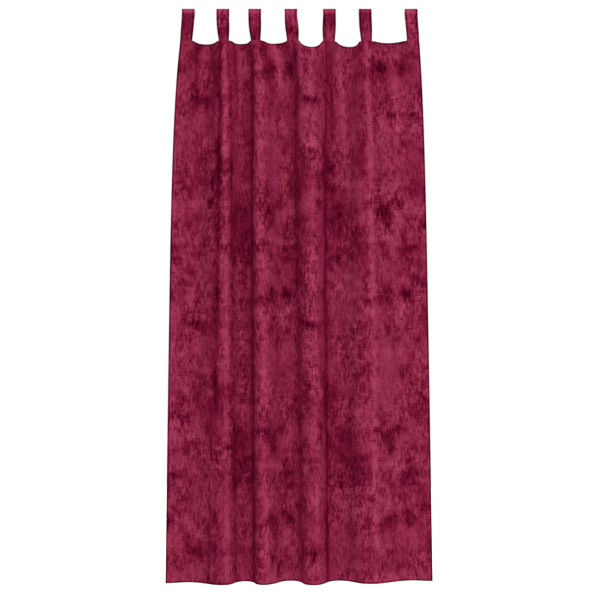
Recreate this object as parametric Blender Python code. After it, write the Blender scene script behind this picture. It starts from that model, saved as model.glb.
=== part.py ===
"""Tab-top velvet curtain: one hung panel, the heading strip behind its top and seven loop tabs.

The curtain hangs as on a rod that runs along X through its tabs. Metres, +X to the right seen
from the front, -Y to the front, +Z up. The origin is on the rod's axis, inside the middle tab.

Cloth does not stretch, so at each height the panel's plan line keeps the flat width. Its
direction swings to one side over each fold's flank and is level at each ridge and hollow. The
FOLDS table says where those lines lie across the flat cloth and how steep the flanks get.
"""
from collections import namedtuple

import bmesh
import bpy
import numpy as np

MM = 0.001

# Driving dimensions
FLAT_WIDTH = 1400 * MM
DROP = 2312 * MM              # panel alone, top edge to hem
PANEL_TOP = -118 * MM         # height of the panel's top edge at the tabs
CLOTH = 2.0 * MM
GAP = 0.4 * MM                # between pieces that lie on each other
HEADING_HEIGHT = 50 * MM

TAB_WIDTH = 54 * MM
TAB_CLOTH = 2.4 * MM          # a tab is a strap of two layers
TAB_TAIL = 24 * MM            # length of the tab's ends caught behind the panel
TAB_CLOSE = 6 * MM            # height above the panel at which the two ends meet
ROD_RADIUS = 14 * MM
ROD_PLAY = 0.3 * MM

# How the gathers of the heading die away down the cloth
HEADING_FADE = 320 * MM
SEAM_FADE = 60 * MM           # stiffness of the tab seams
SAG_FADE = 350 * MM           # sagging of the top edge between tabs
SEAM_REACH = 30 * MM          # half width of the cloth that a tab's seam keeps level

Fold = namedtuple("Fold", "name head below hem head_angle below_angle hem_angle")
# Place of each ridge or hollow across the flat cloth (mm) at the heading, just below it and at
# the hem, and the steepest angle (degrees) of the flank on its left at the same three heights.
FOLDS = (
    Fold("hollow between tabs 1 and 2", 140, 105, 100, 72, 28, 18),
    Fold("ridge under tab 2", 260, 250, 260, 65, 45, 35),
    Fold("hollow between tabs 2 and 3", 370, 365, 395, 78, 78, 60),
    Fold("ridge under tab 3", 485, 500, 510, 78, 75, 72),
    Fold("hollow between tabs 3 and 4", 595, 635, 665, 70, 70, 56),
    Fold("ridge between tabs 4 and 5", 800, 805, 805, 88, 65, 70),
    Fold("hollow between tabs 5 and 6", 1045, 975, 960, 76, 70, 62),
    Fold("ridge under tab 6", 1145, 1135, 1110, 78, 48, 44),
    Fold("hollow between tabs 6 and 7", 1255, 1300, 1315, 40, 35, 32),
    Fold("right edge", 1400, 1400, 1400, 42, 20, 13),
)

Side = namedtuple("Side", "head below hem")
# Where the two side edges hang (mm): across, and forward of the rod's axis
LEFT_ACROSS = Side(-472, -505, -534)
RIGHT_ACROSS = Side(547, 569, 608)
LEFT_FORWARD = Side(0, 4, 6)
RIGHT_FORWARD = Side(0, -22, -39)

Tab = namedtuple("Tab", "at_rod stiff")
# Tab's centre on the rod (mm), and how level its seam keeps the cloth (0 to 1)
TABS = (
    Tab(-437, 0.85),
    Tab(-290, 0.1),
    Tab(-154, 0.1),
    Tab(0, 0.8),
    Tab(164, 0.8),
    Tab(316, 0.1),
    Tab(512, 0.85),
)
# Sag of the top edge (mm) in each gap between neighbouring tabs
GAP_SAG = (4, 2, 2, 36, 14, 2)
SAG_POWER = 1.3               # over 1 rounds the sag off at the tabs

# Mesh steps
GAP_STEPS = 9                 # columns between two tabs
TAB_STEPS = 4                 # columns across a tab
BULGE_END = 30 * MM           # depth to which the strip stands off round the tab tails
BODY_ROWS = 20                # rows below the heading, closer together near it
ROW_GROWTH = 1.5
LEG_SHARES = (1, 0.75, 0.5, 0.25)  # stations up a tab's legs, as shares of the way down from the rod
LOOP_STEPS = 8                # over the rod
FINE = np.linspace(0, FLAT_WIDTH, 1401)
BISECTIONS = 40

CRIMSON = (0.20, 0.014, 0.043, 1.0)


def tab_places():
    """Centres of the tabs across the flat cloth: the outer two are flush with its sides."""
    return np.linspace(TAB_WIDTH / 2, FLAT_WIDTH - TAB_WIDTH / 2, len(TABS))


def settle(head, below, hem, t):
    """A measure at depth t: straight from `below` to `hem`, plus the heading's fading share."""
    return below + (hem - below) * t / DROP + (head - below) * np.exp(-t / HEADING_FADE)


def top_sag(u):
    """Sag of the top edge at places u across the flat cloth, nothing at the tabs."""
    centres = tab_places()
    total = np.zeros_like(u)
    for left, right, depth in zip(centres[:-1], centres[1:], GAP_SAG):
        start = left + TAB_WIDTH / 2
        share = np.clip((u - start) / (right - left - TAB_WIDTH), 0, 1)
        total += depth * MM * np.sin(np.pi * share) ** SAG_POWER
    return total


def flank_angles(u, t):
    """Direction of the plan line at depth t, before it is scaled: positive turns to the front."""
    ends = np.array([0] + [settle(f.head, f.below, f.hem, t) for f in FOLDS]) * MM
    ends[-1] = FLAT_WIDTH
    steep = np.radians([settle(f.head_angle, f.below_angle, f.hem_angle, t) for f in FOLDS])
    flank = np.clip(np.searchsorted(ends, u, side="right") - 1, 0, len(FOLDS) - 1)
    share = (u - ends[flank]) / (ends[flank + 1] - ends[flank])
    forward = np.where(flank % 2 == 0, -1, 1)
    angle = forward * steep[flank] * np.sin(np.pi * share)
    for centre, tab in zip(tab_places(), TABS):
        reach = np.exp(-((u - centre) / SEAM_REACH) ** 4)
        angle *= 1 - tab.stiff * reach * np.exp(-t / SEAM_FADE)
    return angle


def plan_line(u, t):
    """Across and forward positions of places u at depth t, of a line with the flat width."""
    middle = (FINE[1:] + FINE[:-1]) / 2
    step = np.diff(FINE)
    fall = np.diff(top_sag(FINE)) / step * np.exp(-t / SAG_FADE)
    length = step * np.sqrt(1 - fall ** 2)
    angle = flank_angles(middle, t)
    start = np.array([settle(*LEFT_ACROSS, t), settle(*LEFT_FORWARD, t)]) * MM
    end = np.array([settle(*RIGHT_ACROSS, t), settle(*RIGHT_FORWARD, t)]) * MM
    span = np.hypot(*(end - start))

    def line(scale):
        turned = np.stack([np.cos(scale * angle), np.sin(scale * angle)]) * length
        return np.concatenate([np.zeros((2, 1)), np.cumsum(turned, axis=1)], axis=1)

    low, high = 0.5, 1.5
    for _ in range(BISECTIONS):
        scale = (low + high) / 2
        if np.hypot(*line(scale)[:, -1]) > span:
            low = scale
        else:
            high = scale
    path = line(scale)
    swing = np.arctan2(*(end - start)[::-1]) - np.arctan2(*path[::-1, -1])
    turn = np.array([[np.cos(swing), -np.sin(swing)], [np.sin(swing), np.cos(swing)]])
    path = turn @ path + start[:, None]
    return np.interp(u, FINE, path[0]), np.interp(u, FINE, path[1])


def middle_surface(u, t):
    """Points of the cloth's middle surface, a row for each t and a column for each u."""
    rows = []
    for depth in t:
        across, forward = plan_line(u, depth)
        height = PANEL_TOP - depth - top_sag(u) * np.exp(-depth / SAG_FADE)
        rows.append(np.stack([across, -forward, height], axis=-1))
    return np.array(rows)


def cloth(u, t, behind):
    """Points a distance behind the middle surface, along its own normal."""
    u, t = np.asarray(u, float), np.asarray(t, float)
    nudge = 0.5 * MM
    across = middle_surface(u + nudge, t) - middle_surface(u - nudge, t)
    down = middle_surface(u, t + nudge) - middle_surface(u, t - nudge)
    normal = np.cross(across, down)
    normal /= np.linalg.norm(normal, axis=-1, keepdims=True)
    return middle_surface(u, t) + normal * behind


def columns():
    """Places across the flat cloth: TAB_STEPS on each tab and GAP_STEPS between two."""
    centres = tab_places()
    on_tab = np.linspace(-TAB_WIDTH / 2, TAB_WIDTH / 2, TAB_STEPS + 1)
    places = [centres[0] + on_tab]
    for left, right in zip(centres[:-1], centres[1:]):
        between = np.linspace(left + TAB_WIDTH / 2, right - TAB_WIDTH / 2, GAP_STEPS + 1)
        places += [between[1:-1], right + on_tab]
    return np.concatenate(places)


def heading_rows():
    """Depths of the rows that the panel, the strip and the tails share."""
    return np.array([0, TAB_TAIL, BULGE_END, HEADING_HEIGHT])


def panel_rows():
    """Depths of the panel's rows, from the top edge to the hem."""
    share = np.linspace(0, 1, BODY_ROWS + 1)[1:] ** ROW_GROWTH
    return np.append(heading_rows(), HEADING_HEIGHT + (DROP - HEADING_HEIGHT) * share)


def grid_faces(rows, count, first, rising=False):
    """Triangles of a grid of points, all quads split along the same diagonal."""
    i, j = np.mgrid[0:rows - 1, 0:count - 1]
    a = (first + i * count + j).ravel()
    b, c, d = a + 1, a + count + 1, a + count
    order = ((a, b, d), (b, c, d)) if rising else ((a, b, c), (a, c, d))
    return [tuple(face) for corners in order for face in np.stack(corners, axis=-1).tolist()]


def add_solid(name, points, faces):
    """One object with outward faces and its own velvet."""
    mesh = bpy.data.meshes.new(name)
    mesh.from_pydata(points.tolist(), [], faces)
    shape = bmesh.new()
    shape.from_mesh(mesh)
    bmesh.ops.recalc_face_normals(shape, faces=shape.faces)
    shape.to_mesh(mesh)
    shape.free()
    mesh.shade_smooth()
    mesh.set_sharp_from_angle(angle=np.radians(50))
    velvet = bpy.data.materials.new(f"{name} velvet")
    velvet.use_nodes = True
    shader = velvet.node_tree.nodes["Principled BSDF"]
    shader.inputs["Base Color"].default_value = CRIMSON
    shader.inputs["Roughness"].default_value = 0.9
    mesh.materials.append(velvet)
    thing = bpy.data.objects.new(name, mesh)
    bpy.context.scene.collection.objects.link(thing)
    return thing


def add_sheet(name, front, back):
    """A closed sheet between two grids of points, with a rim all round."""
    rows, count = front.shape[:2]
    points = np.concatenate([front.reshape(-1, 3), back.reshape(-1, 3)])
    offset = rows * count
    faces = grid_faces(rows, count, 0) + grid_faces(rows, count, offset)
    index = np.arange(offset).reshape(rows, count)
    rim = np.concatenate([index[0, :-1], index[:-1, -1], index[-1, :0:-1], index[:0:-1, 0]])
    for a, b in zip(rim.tolist(), np.roll(rim, -1).tolist()):
        faces += [(a, b, b + offset), (a, b + offset, a + offset)]
    return add_solid(name, points, faces)


def add_panel(places):
    """The curtain's cloth, with its turned hems in the sheet."""
    front = cloth(places, panel_rows(), -CLOTH / 2)
    back = cloth(places, panel_rows(), CLOTH / 2)
    return add_sheet("panel", front, back)


def add_heading(places):
    """The strip behind the panel's top edge, which stands off round the tabs' tails."""
    rows = heading_rows()
    off_tab = np.abs(places[:, None] - tab_places()).min(axis=1) - TAB_WIDTH / 2
    over_tail = np.where(off_tab < MM, 2 * TAB_CLOTH + GAP, 0)
    behind = CLOTH / 2 + GAP + np.outer((rows <= BULGE_END), over_tail)
    front = cloth(places, rows, behind[..., None])
    back = cloth(places, rows, behind[..., None] + CLOTH)
    return add_sheet("heading", front, back)


def loop_stations():
    """Side view of a tab above the panel: forward offset, height, and the outward direction.

    Below the rod's axis the height is a share, from -1 where the two ends meet up to 0. Above
    the axis it is in metres.
    """
    radius = ROD_RADIUS + ROD_PLAY + TAB_CLOTH / 2
    spread = radius - TAB_CLOTH / 2
    legs = [(TAB_CLOTH / 2 + spread * (1 - share), -share) for share in LEG_SHARES]
    stations = [(forward, height, 1.0, 0.0) for forward, height in legs]
    for angle in np.linspace(0, np.pi, LOOP_STEPS + 1):
        lean, rise = np.cos(angle), np.sin(angle)
        stations.append((radius * lean, radius * rise, lean, rise))
    stations += [(-forward, height, -1.0, 0.0) for forward, height in reversed(legs)]
    return stations


def place_station(forward, height, base, normal, at_rod):
    """World points of one station: it follows the panel at the seam and the rod at the top."""
    if height >= 0:
        rise = np.full(len(base), height)
        share = 1.0
    else:
        rise = (base[:, 2] + TAB_CLOSE) * -height
        share = 1 + height * (PANEL_TOP + TAB_CLOSE) / PANEL_TOP
    weight = share * share * (3 - 2 * share)
    middle = (1 - weight) * base[:, :2] + weight * at_rod
    back = (1 - weight) * normal[:, :2] + weight * np.array([0.0, 1.0])
    back /= np.linalg.norm(back, axis=1, keepdims=True)
    return np.column_stack([middle - back * forward, rise])


def add_tab(number, centre, tab):
    """One closed strap: a loop round the rod and a doubled tail behind the panel."""
    across = np.linspace(-TAB_WIDTH / 2, TAB_WIDTH / 2, TAB_STEPS + 1)
    places = centre + across
    tail_middle = CLOTH / 2 + GAP + TAB_CLOTH
    base = cloth(places, [0.0], tail_middle)[0]
    normal = cloth(places, [0.0], 1.0)[0] - cloth(places, [0.0], 0.0)[0]
    at_rod = np.column_stack([tab.at_rod * MM + across, np.zeros(len(across))])
    outer, inner = [], []
    for forward, height, lean, rise in loop_stations():
        half = TAB_CLOTH / 2
        for line, side in ((outer, half), (inner, -half)):
            raised = height + side * rise if height >= 0 else height
            line.append(place_station(forward + side * lean, raised, base, normal, at_rod))
    inner = inner[:-1]            # both ends of the loop meet in one line
    tail = [TAB_TAIL, 0.0]
    front_tail = cloth(places, tail, tail_middle - TAB_CLOTH)
    back_tail = cloth(places, tail[::-1], tail_middle + TAB_CLOTH)
    outer = list(front_tail) + outer + list(back_tail)
    return add_strap(f"tab_{number}", np.array(outer), np.array(inner))


def add_strap(name, outer, inner):
    """A closed strap from its outer line, which includes the tail, and its inner loop."""
    count = outer.shape[1]
    first = len(outer) * count
    points = np.concatenate([outer.reshape(-1, 3), inner.reshape(-1, 3)])
    half = len(outer) // 2        # the front goes up and the back comes down, as the panel's rows do
    faces = grid_faces(half + 1, count, 0, rising=True)
    faces += grid_faces(len(outer) - half, count, half * count)
    faces += grid_faces(len(inner), count, first)
    last_outer, last_inner = (len(outer) - 1) * count, first + (len(inner) - 1) * count
    for j in range(count - 1):
        faces += [(last_outer + j, last_outer + j + 1, j + 1), (last_outer + j, j + 1, j)]
        faces += [(last_inner + j, first + j, first + j + 1),
                  (last_inner + j, first + j + 1, last_inner + j + 1)]
    for side in (0, count - 1):
        faces += side_faces(len(outer), len(inner), count, first, side)
    return add_solid(name, points, faces)


def side_faces(outer_rows, inner_rows, count, first, side):
    """One edge of a strap: pairs of triangles up the loop, and a fan over the tail."""
    def out(k):
        return k * count + side

    def into(k):
        return first + (k % inner_rows) * count + side

    faces = []
    for k in range(inner_rows):
        faces += [(out(k + 2), out(k + 3), into(k + 1)), (out(k + 2), into(k + 1), into(k))]
    tail = [out(outer_rows - 3), out(outer_rows - 2), out(outer_rows - 1), out(0), out(1), out(2)]
    faces += [(into(0), a, b) for a, b in zip(tail[:-1], tail[1:])]
    return faces


def main():
    for thing in list(bpy.data.objects):
        bpy.data.objects.remove(thing, do_unlink=True)
    places = columns()
    add_panel(places)
    add_heading(places)
    for number, (centre, tab) in enumerate(zip(tab_places(), TABS), start=1):
        add_tab(number, centre, tab)


main()
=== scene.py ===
"""Looks of a hung tab-top velvet curtain: cloth, heading strip, loop tabs, stitching and a pale studio.

The frame gives the curtain's solids, in metres, +X to the right seen from the front, -Y to the
front, +Z up, with the origin on the line of the rod inside the middle tab. Each operator below
makes one piece, or a group of like pieces, as a surface of two parameters.

The cloth is described flat, as it lay on the cutting table: u runs across it from its left edge
and t runs down it from its top edge. Cloth does not stretch, so its plan line keeps the flat
width at every height and only turns: to one side over each fold's flank, level at each ridge.
"""
from collections import namedtuple

import bpy
import numpy as np
from bpy.props import FloatProperty, FloatVectorProperty, IntProperty, PointerProperty
from bpy.types import Operator, Panel, PropertyGroup
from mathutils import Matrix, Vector


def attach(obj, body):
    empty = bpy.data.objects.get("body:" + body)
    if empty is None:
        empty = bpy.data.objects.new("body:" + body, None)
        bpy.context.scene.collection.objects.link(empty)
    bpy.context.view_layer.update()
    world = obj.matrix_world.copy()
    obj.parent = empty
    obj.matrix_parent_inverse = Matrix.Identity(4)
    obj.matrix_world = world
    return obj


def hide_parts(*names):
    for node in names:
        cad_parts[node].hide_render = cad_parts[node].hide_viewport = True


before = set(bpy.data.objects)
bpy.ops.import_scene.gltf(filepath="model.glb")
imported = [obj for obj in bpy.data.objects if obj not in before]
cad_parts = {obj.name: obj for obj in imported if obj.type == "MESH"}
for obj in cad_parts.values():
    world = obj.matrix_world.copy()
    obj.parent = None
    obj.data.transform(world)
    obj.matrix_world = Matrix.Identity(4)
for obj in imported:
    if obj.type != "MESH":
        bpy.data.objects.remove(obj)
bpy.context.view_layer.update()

bl_info = {
    "name": "Tab-top Velvet Curtain",
    "version": (1, 0, 0),
    "blender": (4, 5, 0),
    "location": "3D View > Sidebar > Curtain",
    "description": "Makes the cloth, heading strip, tabs, stitching and studio of a hung curtain",
    "category": "Add Mesh",
}

BODY = "root"

MM = 0.001
CM = 0.01


# --- How the curtain is cut -------------------------------------------------------------------

FLAT_WIDTH = 1400 * MM
DROP = 2312 * MM              # cloth alone, top edge to hem
CLOTH_TOP = -118 * MM         # height of the cloth's top edge at the tabs
CLOTH = 2.0 * MM
GAP = 0.4 * MM                # between pieces that lie on each other
STRIP_HEIGHT = 50 * MM

TAB_WIDTH = 54 * MM
TAB_CLOTH = 2.4 * MM          # room that one leg of a tab takes, two layers of velvet
TAB_TAIL = 24 * MM            # length of the tab's ends caught behind the cloth
TAB_CLOSE = 6 * MM            # height above the cloth at which the two legs meet
ROD_RADIUS = 14 * MM
ROD_PLAY = 0.3 * MM

HEM = 15 * MM                 # turned hem, at the sides and the bottom
HEM_EXTRA = 1.0 * MM          # what the turning adds at the back
HEM_STEP = 2.5 * MM
SEAM_DENT = 0.45 * MM         # how deep a line of stitches pulls the face in
SEAM_DENT_WIDTH = 1.8 * MM
TOP_SEAM = 4 * MM             # depth of the line of stitches along the top edge
STRIP_SEAM = 46 * MM          # depth of the line of stitches along the strip's lower edge
ROUNDED = 1.5 * MM            # how far in from an edge the cloth's face starts to round off
THINNEST = 0.2 * MM


# --- How it hangs -----------------------------------------------------------------------------

HEADING_FADE = 320 * MM       # depth over which the gathers of the heading die away
SEAM_FADE = 60 * MM           # stiffness of the tab seams
SAG_FADE = 350 * MM           # sagging of the top edge between tabs
SEAM_REACH = 30 * MM          # half width of the cloth that a tab's seam keeps level
SAG_POWER = 1.3               # over 1 rounds the sag off at the tabs
GAP_SAG = (4, 2, 2, 36, 14, 2)  # sag of the top edge (mm) between neighbouring tabs

Fold = namedtuple("Fold", "name head below hem head_angle below_angle hem_angle")
# Place of each ridge or hollow across the flat cloth (mm) at the heading, just below it and at
# the hem, and the steepest angle (degrees) of the flank on its left at the same three heights.
FOLDS = (
    Fold("hollow between tabs 1 and 2", 140, 105, 100, 72, 28, 18),
    Fold("ridge under tab 2", 260, 250, 260, 65, 45, 35),
    Fold("hollow between tabs 2 and 3", 370, 365, 395, 78, 78, 60),
    Fold("ridge under tab 3", 485, 500, 510, 78, 75, 72),
    Fold("hollow between tabs 3 and 4", 595, 635, 665, 70, 70, 56),
    Fold("ridge between tabs 4 and 5", 800, 805, 805, 88, 65, 70),
    Fold("hollow between tabs 5 and 6", 1045, 975, 960, 76, 70, 62),
    Fold("ridge under tab 6", 1145, 1135, 1110, 78, 48, 44),
    Fold("hollow between tabs 6 and 7", 1255, 1300, 1315, 40, 35, 32),
    Fold("right edge", 1400, 1400, 1400, 42, 20, 13),
)

Side = namedtuple("Side", "head below hem")
# Where the two side edges hang (mm): across, and forward of the rod's line
LEFT_ACROSS = Side(-472, -505, -534)
RIGHT_ACROSS = Side(547, 569, 608)
LEFT_FORWARD = Side(0, 4, 6)
RIGHT_FORWARD = Side(0, -22, -39)

Tab = namedtuple("Tab", "at_rod stiff cut_across cut_down rod upper middle lower seam")
# Tab's centre on the rod (mm), how level its seam keeps the cloth (0 to 1), where in the cloth's
# repeat it was cut (cm), and how much lighter or darker it is painted (hundredths) at each of
# TAB_TONE_DEPTHS: painted highlight where it turns over the rod, painted light and shade below
TABS = (
    Tab(-437, 0.85, 38, 19, 46, -16, -22, -14, -8),
    Tab(-290, 0.10, 50, 58, 42, 26, 14, -18, 4),
    Tab(-154, 0.10, 34, 28, 14, -4, -22, -28, -18),
    Tab(0, 0.80, 46, 36, 32, 28, 18, -16, 18),
    Tab(164, 0.80, 36, 20, 32, -14, -28, 8, 14),
    Tab(316, 0.10, 58, 56, 34, -6, -18, -20, -12),
    Tab(512, 0.85, 48, 60, 26, 4, 24, 6, 22),
)
TAB_TONE_DEPTHS = (0, 8, 45, 80, 118)  # mm below the rod's line, down to the seam

Line = namedtuple("Line", "name top upper foot start end wide proud tone")
# Ridges and creases that run down the cloth within its folds: place across the flat cloth (mm)
# at the top edge, at UPPER and at the hem; the depths (mm) between which the line shows; its half
# width and how far it stands proud (mm, negative for a trough); and how much lighter or darker it
# is painted along it (hundredths): painted highlight along a ridge, painted shade in a crease
LINES = (
    Line("pull from the right of tab 1", 96, 108, 100, -70, 300, 10, -2.5, -20),
    Line("puff beside it", 60, 70, 70, -70, 260, 13, 1.2, 4),
    Line("bottom of the hollow 1-2", 134, 140, 120, -70, 200, 10, 0.5, 10),
    Line("flank left of the ridge tab 2", 176, 186, 150, 150, 1100, 18, 1, 10),
    Line("crease left of the ridge tab 2", 154, 232, 194, 0, 2400, 14, -3, -24),
    Line("crease beside the seam of tab 2", 234, 234, 234, -70, 140, 9, -0.8, -34),
    Line("fold line left of the ridge tab 2", 231, 230, 226, 30, 2400, 7, -0.4, -22),
    Line("ridge tab 2", 250, 255, 284, 0, 2400, 15, 2.2, 24),
    Line("trough right of tab 2", 312, 312, 312, -70, 170, 14, -0.6, -28),
    Line("crease right of the ridge tab 2", 268, 280, 344, 0, 2400, 11, -1.2, -18),
    Line("bottom of the hollow 2-3", 357, 350, 380, -70, 300, 12, 0.6, 14),
    Line("right side of the hollow 2-3", 378, 378, 400, 100, 1600, 16, 0, -7),
    Line("flank left of the ridge tab 3", 438, 434, 450, -70, 2400, 14, -0.8, -22),
    Line("fold line left of the ridge tab 3", 440, 440, 442, 50, 2400, 9, 0, -17),
    Line("ridge tab 3", 474, 488, 524, -70, 2400, 18, 1.6, 21),
    Line("crease right of tab 3", 500, 540, 560, -70, 230, 18, -2, -36),
    Line("right side of the ridge tab 3", 496, 500, 500, 230, 2400, 14, 0, -6),
    Line("trough right of the ridge tab 3", 540, 552, 596, 260, 2400, 16, -0.8, 4),
    Line("bottom of the hollow 3-4", 597, 602, 620, -70, 260, 14, 0.8, 20),
    Line("flank left of the ridge 4-5", 708, 702, 738, -70, 1100, 13, -0.8, -26),
    Line("lip right of the hollow 3-4", 740, 738, 738, -70, 170, 20, 0, 54),
    Line("flank's lower part", 708, 702, 738, 1100, 2400, 15, -0.8, -4),
    Line("ridge at the right of tab 4", 748, 754, 760, -70, 460, 18, 1.5, 25),
    Line("upper part of the ridge 4-5", 782, 780, 784, 120, 480, 10, 0.3, 17),
    Line("ridge 4-5", 780, 810, 834, 60, 2400, 20, 1.5, 16),
    Line("flank right of the ridge 4-5", 906, 904, 896, -70, 2400, 13, -1, -35),
    Line("crease left of the pull of tab 5", 930, 955, 966, 20, 900, 14, -1.6, -19),
    Line("pull from the right of tab 5", 986, 1005, 1120, -70, 560, 14, 2.6, 28),
    Line("flank left of the ridge tab 6", 1100, 1092, 1062, -70, 1500, 20, 0.4, -1),
    Line("ridge tab 6", 1152, 1149, 1141, -20, 2400, 15, 2, 27),
    Line("left of its upper part", 1122, 1120, 1116, -70, 800, 16, 0, -8),
    Line("crease right of the ridge tab 6", 1180, 1166, 1166, 10, 480, 8, -1.2, -16),
    Line("bottom of the hollow 6-7", 1288, 1280, 1262, -70, 1400, 24, 0.5, 8),
    Line("hollow 1-2 lower down", 210, 210, 208, 1450, 2150, 26, 0, 15),
    Line("left side of the hollow 3-4", 575, 575, 580, -70, 1150, 26, 0, 17),
    Line("right side of its upper part", 886, 888, 888, -70, 420, 15, 0, 18),
    Line("heading right of tab 6", 1205, 1200, 1200, -70, 200, 50, 0, -13),
)
Band = namedtuple("Band", "name across start end wide tone")
# Straight bands of painted light and shade over the folds: place across, the depths between which
# the band shows and its half width (mm), and how much lighter or darker it is painted (hundredths)
SHADING_BANDS = (
    Band("seam of tab 1", 27, -70, 50, 24, 18),
    Band("seam of tab 2", 251, -70, 50, 22, 12),
    Band("right of its lower part", 1186, 1100, 2400, 18, 9),
    Band("right side of the hollow 5-6", 1066, 300, 2400, 16, 9),
    Band("left side", 15, -70, 2400, 26, 6),
    Band("hollow 1-2 under the heading", 120, -70, 420, 60, -6),
    Band("deep side of the hollow 1-2", 195, 100, 800, 16, -15),
    Band("light side of the hollow 2-3", 315, 200, 750, 16, 16),
    Band("light side of it lower down", 315, 1050, 1600, 16, 15),
    Band("light beside the ridge tab 3", 465, 200, 520, 14, 13),
    Band("flank of the ridge 4-5 half way", 748, 520, 1300, 24, -10),
    Band("right side of the ridge 4-5", 860, 120, 2400, 16, 12),
    Band("light in the hollow 5-6", 1028, 520, 1250, 22, 20),
    Band("light right of the pull of tab 5", 1066, -70, 480, 18, 15),
    Band("dark beside the seam of tab 2", 313, -70, 150, 14, -13),
    Band("light over the hollow 3-4", 718, -70, 110, 20, 9),
    Band("light right of tab 5", 902, -70, 260, 20, 9),
    Band("light left of tab 6", 1094, -70, 170, 14, 12),
    Band("dark over the ridge tab 6", 1156, -70, 260, 14, -11),
    Band("light by the foot of the hollow 2-3", 313, 2040, 2400, 14, 10),
    Band("right side", 1375, -70, 2400, 36, -4),
)
UPPER = 250 * MM
LINE_FADE = 70 * MM           # length over which a line fades at its ends

Wave = namedtuple("Wave", "across down start height")
# Slight unevenness of the hang: length of each wave across and down (mm), its start (turns) and
# height (mm)
WAVES = (
    Wave(170, 900, 0.15, 0.5),
    Wave(95, -640, 0.60, 0.35),
    Wave(61, 420, 0.35, 0.2),
)
WAVE_FADE = 120 * MM          # depth over which the waves set in below the top seam


# --- How the velvet is crushed ----------------------------------------------------------------

REPEAT_ACROSS = 65.5 * CM
REPEAT_DOWN = 96.5 * CM

Blotch = namedtuple("Blotch", "across down wide tall tone")
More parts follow.
